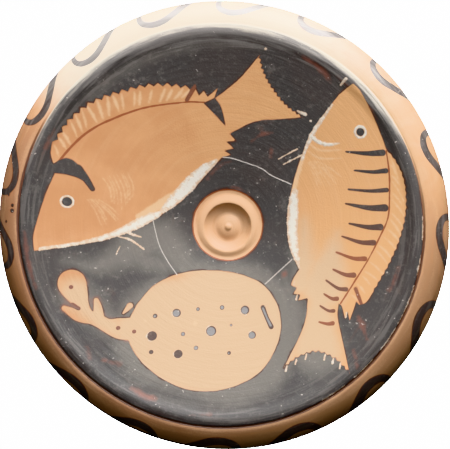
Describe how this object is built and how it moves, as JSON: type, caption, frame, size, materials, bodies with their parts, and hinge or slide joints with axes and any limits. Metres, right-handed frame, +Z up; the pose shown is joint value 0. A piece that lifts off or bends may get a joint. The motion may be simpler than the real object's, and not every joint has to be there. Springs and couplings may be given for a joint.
{
  "type": "fish plate",
  "caption": "Round fired-clay plate with a floor sloping to a small central well, a rounded shoulder, a hanging lip and a flaring foot, painted with sea creatures and a wave border.",
  "frame": {"origin": "middle of the plate's outline, on the surface that its foot stands on", "axes": "+Z up; +Y towards the top of the painted picture; +X to the picture's right"},
  "size_m": [0.2234, 0.2206, 0.046],
  "materials": {
    "painted_clay": "orange-buff fired clay, with a semi-gloss brown-black slip ground and figures left in clay"
  },
  "bodies": {
    "root": {"fish_plate": "painted_clay"}
  },
  "joints": []
}
